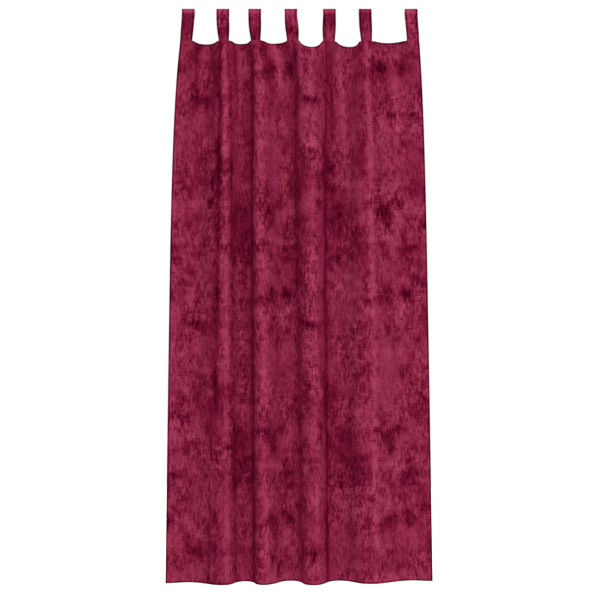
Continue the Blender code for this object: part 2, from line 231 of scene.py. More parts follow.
# Where the pile is crushed within one repeat: centre and half sizes (cm), and how much lighter
# or darker than the mean it looks (hundredths); soft clouds first, then the marks in them
BLOTCHES = [Blotch(*row) for row in (
    (36, 76, 6, 7.5, -20), (32.5, 81, 3, 3.5, -8), (25, 53, 6.5, 4.5, -14),
    (25.5, 61, 4.5, 6, -15), (24, 73, 5.5, 6, -14), (36, 66, 5, 6, -9), (24, 84, 5, 5, -10),
    (37, 88, 6, 5, -15), (45, 89, 4, 4, -9), (13, 59, 5, 4, -15), (12, 47, 5, 4, -6),
    (51.5, 73, 3, 5, -14), (50, 62, 3.5, 3.5, -7), (64.5, 91.5, 4, 6, -19), (2, 78, 5, 4, -9),
    (23, 15, 4, 6, -9), (48, 15, 5, 2.6, -9), (56.5, 14.5, 2.6, 2, -8), (38.5, 4, 3, 5, -9),
    (9.5, 27.5, 3, 2.4, -8), (41, 24, 6, 2, -6), (47, 28, 2.6, 2.6, -9), (37, 43, 2.6, 5, -6),
    (14.5, 86, 3, 3, -7), (57, 42, 4, 9, 9), (58.5, 71, 3.4, 6, 12), (61.5, 59, 4, 4, 9),
    (60, 85, 5, 6, 6), (54.5, 34, 3, 3, 8), (32.5, 8.5, 3, 4, 7), (57, 7, 6, 4, 5),
    (46, 76, 3.6, 4, 7), (23.5, 93, 3.5, 3, 7), (5, 86, 4, 4, 5), (46, 20, 10, 2.5, 4),

    (56, 11, 3.4, 2.8, -41), (51, 13, 2.2, 1, -24), (65.3, 11.5, 2.6, 3, -41),
    (63.5, 8.5, 1.2, 1.2, -27), (12, 24.5, 3.2, 2, -31), (16.5, 24.6, 2.8, 1.9, -29),
    (15.3, 27.5, 1.2, 1.8, -28), (9, 21, 2.4, 3.4, -16), (22, 23, 1.6, 1.4, -26),
    (4, 30.8, 1.6, 0.9, -26), (9, 30.5, 1, 0.8, -18), (22.6, 10.5, 1.4, 3.4, -24),
    (17.5, 12, 3, 2.4, -8), (5, 6, 3, 1.4, -20), (9, 7.5, 1.8, 1, -26), (10, 2.5, 2, 2, -14),
    (24, 6.5, 5, 0.8, -10), (47, 2.6, 1.4, 1.2, -22), (46, 8, 1.2, 2.6, -14),
    (44, 14, 4.6, 1.2, -14), (61.5, 2, 1.6, 1.8, -10), (38, 17, 4, 3, -7), (27, 24.5, 4, 1.6, -12),
    (42, 26, 5, 1.2, -10), (47.5, 24, 2, 1.6, -10), (55.5, 26.5, 1.6, 1.8, -22),
    (60.5, 31, 2.2, 1.4, -21), (59, 33.6, 1.2, 2, -26), (64.8, 27, 1.2, 1.6, -16),
    (58, 22, 1.4, 3, -12), (48, 33, 5, 2.4, -7), (40, 38, 5, 0.8, -8), (22, 46.5, 1.5, 3.6, -36),
    (27, 52, 3.6, 2.2, -16), (28.8, 55.6, 2.8, 1.6, -18), (22.6, 57, 1.3, 4.2, -20),
    (12.5, 53, 2.6, 4.4, -14), (19.5, 60, 2.4, 4.4, -18), (4, 56, 3.6, 2, -10),
    (3, 63, 4.6, 3.8, -14), (8.5, 65, 1.2, 3, -22), (18.8, 68.4, 1.7, 2.4, -29),
    (14.5, 50, 2, 1, -16), (45.8, 45, 1.2, 4.2, -14), (42, 48, 4.4, 5, -7),
    (43, 52.4, 3.6, 1, -13), (45.8, 56.4, 1.3, 1.2, -24), (38.5, 57, 4, 2, -8),
    (64.5, 43.6, 1.4, 1.4, -20), (63.4, 46.6, 1.2, 1.6, -26), (56.4, 73.4, 3, 3, -40),
    (56.8, 77.6, 2.4, 2, -36), (53.4, 72, 1.8, 2.6, -26), (61, 69.4, 2.8, 2.2, -38),
    (57.4, 70, 1.6, 1.4, -22), (49.6, 69.4, 2.8, 1.2, -28), (52.2, 65.4, 1.4, 3.4, -22),
    (62, 65, 1.4, 1.6, -14), (33, 70.6, 2.4, 1.8, -19), (32.6, 74.2, 1.6, 1.4, -31),
    (29, 76.6, 3, 1.2, -24), (29.5, 63.2, 1.6, 1, -18), (38, 72, 3.6, 3, -4),
    (43, 81.6, 3.4, 2.2, -26), (38, 83.6, 2.6, 3, -18), (42, 87.6, 6, 3.4, -12),
    (27, 91.6, 4.6, 3.8, -14), (38, 92, 5.6, 3.6, -12), (32.4, 94, 1.4, 2, -37),
    (31.8, 89.4, 1.2, 1.4, -29), (32.6, 82.4, 1, 3, -10), (27, 87.4, 3.4, 1, -14),
    (51, 87.6, 3.6, 1.8, -14), (56, 91.6, 2.4, 2.6, -16), (64.6, 83.6, 1.3, 2.4, -26),
    (64.4, 88.8, 1.2, 1.6, -18), (2.2, 88.2, 2.6, 1.6, -24), (7, 87.6, 3.4, 1.4, -12),
    (2, 93, 2.6, 1, -18), (12, 92, 2.4, 2, -13), (8.2, 77.6, 1.6, 2.4, -20),
    (12, 75.4, 2.2, 1.8, -22), (12, 82, 2, 1.6, -16), (16.8, 81.4, 2, 2.6, -14),
    (22.4, 81, 1.4, 2.2, -5), (36.5, 4.2, 3.4, 1.4, 14), (42, 7.2, 3, 0.9, 20),
    (54.8, 3.6, 2.6, 2.4, 15), (31, 4, 1.4, 2.6, 10), (41, 11.6, 2.6, 0.8, 10),
    (9.5, 13, 2.4, 3.2, 10), (15, 4, 3, 4, 6), (28.5, 16, 4, 3.4, 6), (63, 18.6, 3.4, 4, 9),
    (3, 20, 3.4, 4.4, 7), (46, 18.6, 3, 2.4, 7), (12.4, 33, 3.4, 4.2, 10), (4.6, 37, 4, 3.8, 9),
    (22, 33, 1.4, 4.2, 12), (57, 36, 2.2, 3.4, 16), (63.6, 36, 2, 4.4, 8), (51, 46, 3, 8, 7),
    (33, 38, 4, 4, 4), (26.4, 45.6, 3, 3.6, 8), (35, 45, 2.6, 4, 5), (16.6, 44, 2.4, 2.6, 8),
    (3.4, 47, 3, 2.4, 6), (19.5, 53.4, 1.5, 1.8, 27), (8.4, 53.2, 1.4, 1.4, 14),
    (57, 52, 3.6, 5, 7), (33, 58.6, 2.6, 2.6, 10), (42, 61.4, 6.4, 2, 17), (44, 66.4, 5, 2.6, 8),
    (58, 61, 3, 3.4, 12), (12.6, 69, 3.6, 4, 11), (3.4, 72, 4.4, 4, 14), (25.6, 69.4, 4, 0.9, 12),
    (22, 73.4, 1.4, 2.8, 12), (47, 75, 3.4, 3, 7), (63, 75.4, 3, 3.6, 10),
    (56.4, 84, 3.6, 1.3, 27), (60.6, 86, 2.2, 1.3, 20), (49, 84, 3, 1.4, 12),
    (11.6, 83.8, 1.6, 0.9, 16), (11.8, 86.4, 1.8, 1, 24), (22.4, 87, 2.8, 5, 14),
    (26.5, 83, 3, 2.6, 8), (58.8, 90, 1.8, 2.4, 18), (55.6, 95.6, 2, 1.4, 16),
    (4.6, 81, 3.4, 2, 9), (5.5, 91.4, 2.6, 0.8, 18), (48, 92.4, 2.4, 3, 3),
)]
BLOTCH_POWER = 1.4            # over 1 makes a blotch flatter in its middle and steeper at its edge

EDGE_SHADE = 4 * MM           # how far in from a folded edge the painted shade is darkest
TAB_EDGE_IN = 1.8 * MM        # how much farther in on a tab, whose edges are fuller
LOOP_SHADE = 0.5              # how dark the painted shade is where the strap bends over the top of the rod
LOOP_SHADE_AT = 11.5 * MM
EDGE_SHADE_WIDTH = 3.6 * MM
HEM_RIDGE = 11 * MM           # where the turned hem is fullest, and takes a painted highlight
HEM_LIGHT = 0.25              # how much lighter the painted highlight is, as a share of the edge's painted shade
DEEP_FROM = 0.7               # turn to the side (0 to 1) past which a flank is painted a deeper red, as painted bounce light


# --- Surfaces of the flat cloth ---------------------------------------------------------------

# Places across the flat cloth, 1 mm apart, at which its plan line is worked out, and the two
# scales between which the bisection for its angles starts
FINE = np.linspace(0, FLAT_WIDTH, 1401)
BISECTIONS = 32
SCALES = (0.5, 1.5)
NUDGE = 0.5 * MM              # between the places from which a normal is worked out


def tab_places():
    """Centres of the tabs across the flat cloth: the outer two are flush with its sides."""
    return np.linspace(TAB_WIDTH / 2, FLAT_WIDTH - TAB_WIDTH / 2, len(TABS))


def smooth(share):
    """0 below 0, 1 above 1 and 3s^2 - 2s^3 between."""
    share = np.clip(share, 0, 1)
    return share * share * (3 - 2 * share)


def settle(head, below, hem, t):
    """A measure at depth t: straight from `below` to `hem`, plus the heading's fading share."""
    return below + (hem - below) * t / DROP + (head - below) * np.exp(-t / HEADING_FADE)


def top_sag(u):
    """Sag of the top edge at places u: a raised sine between each two tabs, nothing at a tab."""
    centres = tab_places()
    total = np.zeros_like(u)
    for left, right, depth in zip(centres[:-1], centres[1:], GAP_SAG):
        share = np.clip((u - left - TAB_WIDTH / 2) / (right - left - TAB_WIDTH), 0, 1)
        total += depth * MM * np.sin(np.pi * share) ** SAG_POWER
    return total


def flank_angles(u, t):
    """Direction of the plan line, a row for each depth t, before it is scaled.

    Over each flank the angle is its steepest value times sin(pi share), to the front and to the
    back by turns, and each tab's seam takes a share of it off near the top.
    """
    columns = [np.zeros_like(t)]
    columns += [settle(f.head, f.below, f.hem, t) * MM for f in FOLDS]
    ends = np.stack(columns, axis=1)
    ends[:, -1] = FLAT_WIDTH
    steep = np.stack([settle(f.head_angle, f.below_angle, f.hem_angle, t) for f in FOLDS], axis=1)
    flank = (u[None, :, None] >= ends[:, None, 1:-1]).sum(axis=2)
    start = np.take_along_axis(ends, flank, axis=1)
    end = np.take_along_axis(ends, flank + 1, axis=1)
    share = (u - start) / (end - start)
    forward = np.where(flank % 2 == 0, -1, 1)
    angle = forward * np.radians(np.take_along_axis(steep, flank, axis=1)) * np.sin(np.pi * share)
    for centre, tab in zip(tab_places(), TABS):
        reach = np.exp(-((u - centre) / SEAM_REACH) ** 4)
        angle *= 1 - tab.stiff * np.outer(np.exp(-t / SEAM_FADE), reach)
    return angle


def plan_lines(t):
    """Across and forward places of the FINE points, a row for each depth t.

    Each row adds up steps of the flat width's own length in the directions of flank_angles,
    scaled by bisection until the ends lie as far apart as the two side edges hang, then turned
    onto those two places.
    """
    middle = (FINE[1:] + FINE[:-1]) / 2
    step = np.diff(FINE)
    fall = np.outer(np.exp(-t / SAG_FADE), np.diff(top_sag(FINE)) / step)
    length = step * np.sqrt(1 - fall ** 2)
    angle = flank_angles(middle, t)
    start = np.stack([settle(*LEFT_ACROSS, t), settle(*LEFT_FORWARD, t)]) * MM
    end = np.stack([settle(*RIGHT_ACROSS, t), settle(*RIGHT_FORWARD, t)]) * MM
    span = np.hypot(*(end - start))
    low, high = (np.full(len(t), scale) for scale in SCALES)
    for _ in range(BISECTIONS):
        scale = (low + high) / 2
        turned = scale[:, None] * angle
        reach = np.hypot((np.cos(turned) * length).sum(axis=1), (np.sin(turned) * length).sum(axis=1))
        low = np.where(reach > span, scale, low)
        high = np.where(reach > span, high, scale)
    turned = scale[:, None] * angle
    zero = np.zeros((len(t), 1))
    across = np.hstack([zero, np.cumsum(np.cos(turned) * length, axis=1)])
    forward = np.hstack([zero, np.cumsum(np.sin(turned) * length, axis=1)])
    swing = np.arctan2(*(end - start)[::-1]) - np.arctan2(forward[:, -1], across[:, -1])
    cos, sin = np.cos(swing)[:, None], np.sin(swing)[:, None]
    return (start[0][:, None] + cos * across - sin * forward,
            start[1][:, None] + sin * across + cos * forward)


def pick(lines, u):
    """Values of each row at places u, straight between the FINE points."""
    place = np.clip(u, 0, FLAT_WIDTH) / (FINE[1] - FINE[0])
    left = np.minimum(place.astype(int), len(FINE) - 2)
    share = place - left
    return lines[:, left] * (1 - share) + lines[:, left + 1] * share


def middle_surface(u, t):
    """Points of the cloth's middle surface, a row for each t and a column for each u."""
    across, forward = plan_lines(t)
    height = CLOTH_TOP - t[:, None] - np.outer(np.exp(-t / SAG_FADE), top_sag(u))
    return np.stack([pick(across, u), -pick(forward, u), height], axis=-1)


def bell(line, middle, u, t):
    """Strength of a line or band at flat places: a bell curve across it that fades at its ends."""
    ends = smooth((t - line.start * MM) / LINE_FADE) * smooth((line.end * MM - t) / LINE_FADE)
    return ends * np.exp(-((u - middle) / (line.wide * MM)) ** 2)


def line_middle(line, t):
    """Place across of a line at depths t, straight between its three given places."""
    return np.interp(t, (0, UPPER, DROP), (line.top * MM, line.upper * MM, line.foot * MM))


def line_relief(u, t):
    """How far lines and unevenness stand proud, in metres, a row for each t.

    A wave is a plain sine of the two flat places, fading towards the top seam.
    """
    across, down = np.meshgrid(u, t)
    total = sum(line.proud * MM * bell(line, line_middle(line, down), across, down)
                for line in LINES)
    total = total * smooth(down / LINE_FADE)
    for wave in WAVES:
        turns = across / (wave.across * MM) + down / (wave.down * MM) + wave.start
        total += wave.height * MM * np.sin(2 * np.pi * turns) * smooth(down / WAVE_FADE)
    return total


def painted_fold_shading(across, down):
    """How much lighter than the mean the cloth is painted at flat places: painted highlights on ridges,
    painted shade in creases.
    """
    tone = sum(line.tone / 100 * bell(line, line_middle(line, down), across, down)
               for line in LINES)
    return tone + sum(band.tone / 100 * bell(band, band.across * MM, across, down)
                      for band in SHADING_BANDS)


def cloth_normals(u, t):
    """Unit normals of the middle surface, pointing to the back."""
    across = middle_surface(u + NUDGE, t) - middle_surface(u - NUDGE, t)
    down = middle_surface(u, t + NUDGE) - middle_surface(u, t - NUDGE)
    normal = np.cross(across, down)
    return normal / np.linalg.norm(normal, axis=-1, keepdims=True)


def cloth_points(u, t, *behind):
    """For each distance in `behind`: the points that far behind the middle surface with its lines."""
    u, t = np.asarray(u, float), np.asarray(t, float)
    normal = cloth_normals(u, t)
    middle = middle_surface(u, t) - normal * line_relief(u, t)[..., None]
    return [middle + normal * np.broadcast_to(away, middle.shape[:2])[..., None]
            for away in behind]


def crushed_tone(u, t):
    """How light the crushed pile looks at flat places, 1 for the mean: the chart, repeated.

    Each blotch is exp(-(r^2)^power) of its own elliptic radius r, and copies of it stand a
    repeat apart both ways.
    """
    tone = np.ones(np.broadcast(u, t).shape)
    for blotch in BLOTCHES:
        aside = (u - blotch.across * CM + REPEAT_ACROSS / 2) % REPEAT_ACROSS - REPEAT_ACROSS / 2
        below = (t - blotch.down * CM + REPEAT_DOWN / 2) % REPEAT_DOWN - REPEAT_DOWN / 2
        radius = (aside / (blotch.wide * CM)) ** 2 + (below / (blotch.tall * CM)) ** 2
        tone = tone + blotch.tone / 100 * np.exp(-radius ** BLOTCH_POWER)
    return tone


# --- Meshes -----------------------------------------------------------------------------------

# Distances from an edge at which the cloth's grid has a line, and depths of its rows at the
# heading; further down the rows stand the wider apart, by this share, the lower they are
EDGE_STEPS = np.array([0, 0.4, 1.5, 4, 7, 10]) * MM
HEADING_STEPS = np.array([0, 0.4, 1.5, 2.6, 4, 5.4, 9, 14, 20, 26, 32, 38, 43, 46, 49, 54, 60]) * MM
ROW_SPREAD = 0.25


def grid_quads(rows, count, first=0, turn_round=False):
    """Corners of a grid's quads, rows by count points from index `first`."""
    i, j = np.mgrid[0:rows - 1, 0:count - 1]
    a = (first + i * count + j).ravel()
    quads = np.stack([a, a + count, a + count + 1, a + 1], axis=-1)
    return quads[:, ::-1] if turn_round else quads


def tube_quads(rows, count, turn_round=False):
    """Corners of the quads of a tube: rows of closed rings of count points."""
    i, j = np.mgrid[0:rows - 1, 0:count]
    a = (i * count + j).ravel()
    b = (i * count + (j + 1) % count).ravel()
    quads = np.stack([a, a + count, b + count, b], axis=-1)
    return quads[:, ::-1] if turn_round else quads


def add_piece(name, points, faces, layers, flat, finishes, finish=None):
    """One object at the origin from world points, with smooth faces and its flat places as UV.

    `layers` are numbers stored at its points, and `finish` says which of the named `finishes`
    each face takes, or all take the first.
    """
    mesh = bpy.data.meshes.new(name)
    mesh.from_pydata(points.tolist(), [], faces)
    corner = np.empty(len(mesh.loops), np.int32)
    mesh.loops.foreach_get("vertex_index", corner)
    uv_layer = mesh.uv_layers.new(name="flat")
    uv_layer.data.foreach_set("uv", flat[corner].astype(np.float32).ravel())
    for layer, values in layers.items():
        stored = mesh.attributes.new(layer, "FLOAT", "POINT")
        stored.data.foreach_set("value", np.asarray(values, np.float32).ravel())
    for each in finishes:
        mesh.materials.append(finish_of(each))
    if finish is not None:
        mesh.polygons.foreach_set("material_index", finish.astype(np.int32))
    mesh.shade_smooth()
    mesh.update()
    thing = bpy.data.objects.new(name, mesh)
    bpy.context.scene.collection.objects.link(thing)
    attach(thing, BODY)
    return thing


def add_sheet(name, places, depths, front, back, layers, finishes, plain=None):
    """A closed sheet between a front and a back grid of points.

    Back faces take the second finish where `plain`, a number from 0 to 1 at the grid's points,
    is over a half, and all other faces take the first.
    """
    rows, count = front.shape[:2]
    offset = rows * count
    index = np.arange(offset).reshape(rows, count)
    rim = np.concatenate([index[0, :-1], index[:-1, -1], index[-1, :0:-1], index[:0:-1, 0]])
    after = np.roll(rim, -1)
    rim_quads = np.stack([rim, after, after + offset, rim + offset], axis=-1)
    quads = np.concatenate([
        grid_quads(rows, count),
        rim_quads,
        grid_quads(rows, count, offset, turn_round=True),
    ])
    points = np.concatenate([front.reshape(-1, 3), back.reshape(-1, 3)])
    across, down = np.meshgrid(places, depths)
    flat = np.stack([across.ravel(), down.ravel()], axis=-1)
    both = {layer: np.tile(values.ravel(), 2) for layer, values in layers.items()}
    finish = np.zeros(len(quads), int)
    if plain is not None:
        corners = (plain[:-1, :-1] + plain[1:, :-1] + plain[:-1, 1:] + plain[1:, 1:]) / 4
        finish[-corners.size:] = corners.ravel() > 0.5
    return add_piece(name, points, quads.tolist(), both, np.tile(flat, (2, 1)), finishes, finish)


def edge_steps():
    """Distances from an edge, closer where it rounds off and where the hem's seam lies."""
    seam = HEM + np.array([-SEAM_DENT_WIDTH, 0, SEAM_DENT_WIDTH, SEAM_DENT_WIDTH + HEM_STEP])
    return np.concatenate([EDGE_STEPS, seam])


def cloth_columns(count):
    """Places across the flat cloth: the hem's steps at both sides and `count` even ones between."""
    edge = edge_steps()
    between = np.linspace(edge[-1], FLAT_WIDTH - edge[-1], count + 2)[1:-1]
    return np.concatenate([edge, between, FLAT_WIDTH - edge[::-1]])


def cloth_rows(count):
    """Depths down the cloth: close steps at the heading, `count` wider ones, the hem's steps."""
    edge = edge_steps()
    share = np.linspace(0, 1, count + 2)[1:-1]
    share = (1 - ROW_SPREAD) * share + ROW_SPREAD * share ** 2
    body = HEADING_STEPS[-1] + (DROP - edge[-1] - HEADING_STEPS[-1]) * share
    return np.concatenate([HEADING_STEPS, body, DROP - edge[::-1]])


def rounded(distance, thickness):
    """Half the thickness at a distance from an edge: a quarter circle, then level."""
    share = np.clip(distance / ROUNDED, 0, 1)
    return np.maximum(thickness / 2 * np.sqrt(1 - (1 - share) ** 2), THINNEST / 2)


def side_distance(u):
    """Distance to the nearer side edge, across the flat cloth."""
    return np.minimum(u, FLAT_WIDTH - u)


def dent(distance):
    """Depth of the dent that a line of stitches makes, a bell curve of the distance to it."""
    return SEAM_DENT * np.exp(-(distance / SEAM_DENT_WIDTH) ** 2)


def edge_shade(distance):
    """Painted shade beside a folded edge, then a little painted highlight over the fullness of the
    turned hem.
    """
    light = HEM_LIGHT * np.exp(-((distance - HEM_RIDGE) / EDGE_SHADE_WIDTH) ** 2)
    return np.exp(-((distance - EDGE_SHADE) / EDGE_SHADE_WIDTH) ** 2) - light


def painted_bounce_colour(u, t):
    """How far into a fold's flank each flat place is: 0 facing front, 1 facing sideways.

    Light bounces between the flanks of a fold and comes out of it a fuller red.
    """
    sideways = np.abs(cloth_normals(u, t)[..., 0])
    return smooth((sideways - DEEP_FROM) / (1 - DEEP_FROM))


def off_tabs(u):
    """How far places across the flat cloth lie beside the nearest tab."""
    return np.abs(u[..., None] - tab_places()).min(axis=-1) - TAB_WIDTH / 2


# --- Node groups and materials ----------------------------------------------------------------

Grain = namedtuple("Grain", "name scale across down detail rough step share fray")
# Noises that mottle the pile: turns to a metre, how they are drawn together across and down the
# cloth, octaves and their roughness, the soft step that parts them into two tones (0 leaves them
# smooth), their share of the tone, and how they fray the edges of the charted blotches
GRAINS = (
    Grain("islands", 24, 1.15, 0.55, 3, 0.6, 0.09, 0.085, -0.08),
    Grain("flecks", 62, 1.3, 0.5, 2, 0.6, 0.09, 0.105, -0.16),
    Grain("upright streaks", 105, 1.7, 0.26, 2, 0.6, 0, 0.74, -0.7),
    Grain("level streaks", 84, 0.3, 1.7, 2, 0.6, 0, 0.54, -0.5),
    Grain("speckle", 150, 1.0, 0.9, 2, 0.7, 0, 0.38, 0),
    Grain("fibres", 900, 1.2, 0.6, 2, 0.7, 0, 0.1, 0),
)
VEINS = Grain("veins", 42, 1.1, 0.6, 2, 0.6, 0, 0, 0)
VEIN_WIDTH = 0.06             # of the veins' noise
VEIN_TONES = (-0.13, 0.02)    # in a vein and beside it
BUSY = Grain("busy areas", 7, 1.0, 0.7, 1, 0.5, 0, 0, 0)
BUSY_NOISE = 0.12             # of that noise, either way
BUSY_SHARES = (0.68, 1.47)    # how strong the mottle is in a calm and in a busy area
CHARTED = 1.3                 # strength of the charted blotches before they are frayed
# tone of the painted shade at an edge, at its darkest
EDGE_TONE = -0.5
# tones of the colour stops; the painted shade and highlights of folds and edges run through them too
STOPS = {"Darkest": -0.75, "Dark": -0.2, "Middle": 0.0, "Light": 0.17, "Lightest": 0.50}
# painted bounce light: the colour in a flank is multiplied towards this tint
DEEP_TINT = (1.0, 0.66, 0.95, 1.0)
FLAT_TONE = 0.4               # tone, either way, at which the roughness is at its ends
ROUGHNESS = (0.95, 0.7)       # of dark and of light pile
FIBRE_HEIGHT = 0.5
SHEEN = 0.14
SHEEN_ROUGHNESS = 0.5
SHEEN_TINT = (1.0, 0.04, 0.22, 1.0)
# Strength and depth of each finish's bumps
PILE_BUMP = (0.5, 1.2 * MM)
WEAVE_BUMP = (0.4, 0.3 * MM)
THREAD_BUMP = (0.5, 0.1 * MM)

BACK_UNEVEN = Grain("uneven threads", 60, 1.0, 0.4, 3, 0.6, 0, 1.4, 0)
WEAVE_SHADE = 0.18
BACK_CRUSHED = 0.9            # how much of the crush shows on the back
TWISTS = 4.0                  # of the thread, in one stitch

WHITE = (1.0, 1.0, 1.0, 1.0)


def add_node(tree, kind, inputs=None, **settings):
    """A node with its settings made, and its inputs linked or set, each by name or number."""
    node = tree.nodes.new(kind)
    for setting, value in settings.items():
        setattr(node, setting, value)
    for socket, value in (inputs or {}).items():
        if isinstance(value, bpy.types.NodeSocket):
            tree.links.new(value, node.inputs[socket])
        else:
            node.inputs[socket].default_value = value
    return node


def calculate(tree, operation, first, second=0.0, third=0.0):
    """The result of one Math node."""
    node = add_node(tree, "ShaderNodeMath", {0: first, 1: second, 2: third}, operation=operation)
    return node.outputs[0]


def map_range(tree, value, low, high, to=(0.0, 1.0), kind="LINEAR"):
    """A value mapped from between low and high to between the two of `to`, and kept there."""
    inputs = {"Value": value, "From Min": low, "From Max": high, "To Min": to[0], "To Max": to[1]}
    return add_node(tree, "ShaderNodeMapRange", inputs, interpolation_type=kind).outputs[0]


def mix_colours(tree, share, first, second, blend="MIX"):
    """The second colour over the first by a share."""
    node = add_node(tree, "ShaderNodeMix", {0: share, 6: first, 7: second}, data_type="RGBA",
                    blend_type=blend)
    return node.outputs[2]


def new_group(name, inputs, outputs):
    """An empty shader group with its sockets, and its input and output nodes."""
    group = bpy.data.node_groups.new(name, "ShaderNodeTree")
    for socket, kind, default in inputs:
        made = group.interface.new_socket(name=socket, in_out="INPUT", socket_type=kind)
        if default is not None:
            made.default_value = default
    for socket, kind in outputs:
        group.interface.new_socket(name=socket, in_out="OUTPUT", socket_type=kind)
    return group, group.nodes.new("NodeGroupInput").outputs, group.nodes.new("NodeGroupOutput").inputs


def centred_noise(tree, place, grain):
    """Noise about 0, with its grain drawn out across or down the cloth."""
    stretched = add_node(tree, "ShaderNodeVectorMath", {0: place, 1: (grain.across, grain.down, 1.0)},
                         operation="MULTIPLY")
    noise = add_node(tree, "ShaderNodeTexNoise",
                     {"Vector": stretched.outputs[0], "Scale": grain.scale, "Detail": grain.detail,
                      "Roughness": grain.rough})
    return calculate(tree, "SUBTRACT", noise.outputs[0], 0.5)


def crushed_pile_group():
    """Crushed pile: charted tone broken up by ragged patches, streaks both ways and speckle, with the
    painted light and shade of folds and edges and a painted bounce tint in the flanks.
    """
    group, given, result = new_group(
        "Crushed pile",
        (("Flat place", "NodeSocketVector", None), ("Tone", "NodeSocketFloat", 1.0),
         ("Lie", "NodeSocketFloat", 0.0), ("Edge", "NodeSocketFloat", 0.0),
         ("Deep", "NodeSocketFloat", 0.0),
         *((stop, "NodeSocketColor", None) for stop in STOPS)),
        (("Color", "NodeSocketColor"), ("Roughness", "NodeSocketFloat"),
         ("Height", "NodeSocketFloat")))
    place = given["Flat place"]
    vein = calculate(group, "ABSOLUTE", centred_noise(group, place, VEINS))
    mottle = map_range(group, vein, 0.0, VEIN_WIDTH, VEIN_TONES)
    ragged = CHARTED
    for grain in GRAINS:
        noise = centred_noise(group, place, grain)
        if grain.step:
            noise = map_range(group, noise, -grain.step, grain.step, (-1.0, 1.0), "SMOOTHSTEP")
        mottle = calculate(group, "MULTIPLY_ADD", noise, grain.share, mottle)
        if grain.fray:
            ragged = calculate(group, "MULTIPLY_ADD", noise, grain.fray, ragged)
    fibres = noise  # the last of GRAINS
    busy = map_range(group, centred_noise(group, place, BUSY), -BUSY_NOISE, BUSY_NOISE, BUSY_SHARES)
    charted = calculate(group, "SUBTRACT", given["Tone"], 1.0)
    # the charted tone, frayed, plus the painted light and shade of the folds
    tone = calculate(group, "MULTIPLY_ADD", charted, ragged, given["Lie"])
    tone = calculate(group, "MULTIPLY_ADD", mottle, busy, tone)
    # painted shade at the edges
    tone = calculate(group, "MULTIPLY_ADD", given["Edge"], EDGE_TONE, tone)

    names = list(STOPS)
    colour = given[names[0]]
    for lower, upper in zip(names[:-1], names[1:]):
        share = map_range(group, tone, STOPS[lower], STOPS[upper])
        colour = mix_colours(group, share, colour, given[upper])
    # painted bounce light: flanks deeper red
    colour = mix_colours(group, given["Deep"], colour, DEEP_TINT, "MULTIPLY")
    group.links.new(colour, result["Color"])
    group.links.new(map_range(group, tone, -FLAT_TONE, FLAT_TONE, ROUGHNESS), result["Roughness"])
    height = calculate(group, "MULTIPLY_ADD", fibres, FIBRE_HEIGHT, tone)
    group.links.new(height, result["Height"])


def woven_back_group():
    """Plain weave of the velvet's back: threads across and down, a little uneven, with painted shade
    where the weave is low.

    Where the pile is crushed, the back shows it faintly.
    """
    group, given, result = new_group(
        "Woven back",
        (("Flat place", "NodeSocketVector", None), ("Tone", "NodeSocketFloat", 1.0),
         ("Thread size", "NodeSocketFloat", 0.8 * MM),
         ("Low", "NodeSocketColor", None), ("High", "NodeSocketColor", None)),
        (("Color", "NodeSocketColor"), ("Height", "NodeSocketFloat")))
    axes = add_node(group, "ShaderNodeSeparateXYZ", {0: given["Flat place"]})
    ridges = []
    for axis in (0, 1):
        turns = calculate(group, "DIVIDE", axes.outputs[axis], given["Thread size"])
        ridges.append(calculate(group, "SINE", calculate(group, "MULTIPLY", turns, 2 * np.pi)))
    weave = calculate(group, "MULTIPLY", *ridges)
    uneven = centred_noise(group, given["Flat place"], BACK_UNEVEN)
    share = calculate(group, "MULTIPLY_ADD", uneven, BACK_UNEVEN.share, 0.5)
    # painted shade in the weave's hollows, darker where its height is low
    share = calculate(group, "MULTIPLY_ADD", weave, WEAVE_SHADE, share)
    crushed = calculate(group, "SUBTRACT", given["Tone"], 1.0)
    share = calculate(group, "MULTIPLY_ADD", crushed, BACK_CRUSHED, share)
    group.links.new(mix_colours(group, share, given["Low"], given["High"]), result["Color"])
    group.links.new(weave, result["Height"])


def new_material(name, roughness, gloss=0.03):
    """A material's node tree and its Principled BSDF, matt unless given more gloss."""
    material = bpy.data.materials.new(name)
    material.use_nodes = True
    shader = material.node_tree.nodes["Principled BSDF"]
    shader.inputs["Roughness"].default_value = roughness
    shader.inputs["Specular IOR Level"].default_value = gloss
    return material.node_tree, shader


def add_bump(tree, shader, height, strength, distance):
    """Bumps the shader's normal by a height."""
    bump = add_node(tree, "ShaderNodeBump",
                    {"Height": height, "Strength": strength, "Distance": distance})
    tree.links.new(bump.outputs["Normal"], shader.inputs["Normal"])


def flat_place(tree):
    """Place on the flat cloth, or on a stitch."""
    return add_node(tree, "ShaderNodeUVMap", uv_map="flat").outputs["UV"]


def stored_number(tree, layer):
    """A number stored at the points of a piece."""
    return add_node(tree, "ShaderNodeAttribute", attribute_name=layer).outputs["Fac"]


def velvet_material(name, settings):
    """The velvet's face: crushed pile on the flat places, with a soft sheen."""
    tree, shader = new_material(name, 0.85, 0.0)
    shader.inputs["Sheen Weight"].default_value = SHEEN
    shader.inputs["Sheen Roughness"].default_value = SHEEN_ROUGHNESS
    shader.inputs["Sheen Tint"].default_value = SHEEN_TINT
    inputs = {"Flat place": flat_place(tree)}
    for layer in ("Tone", "Lie", "Edge", "Deep"):
        inputs[layer] = stored_number(tree, layer.lower())
    for stop in STOPS:
        inputs[stop] = (*getattr(settings, stop.lower()), 1.0)
    group = bpy.data.node_groups["Crushed pile"]
    pile = add_node(tree, "ShaderNodeGroup", inputs, node_tree=group)
    tree.links.new(pile.outputs["Color"], shader.inputs["Base Color"])
    tree.links.new(pile.outputs["Roughness"], shader.inputs["Roughness"])
    add_bump(tree, shader, pile.outputs["Height"], *PILE_BUMP)


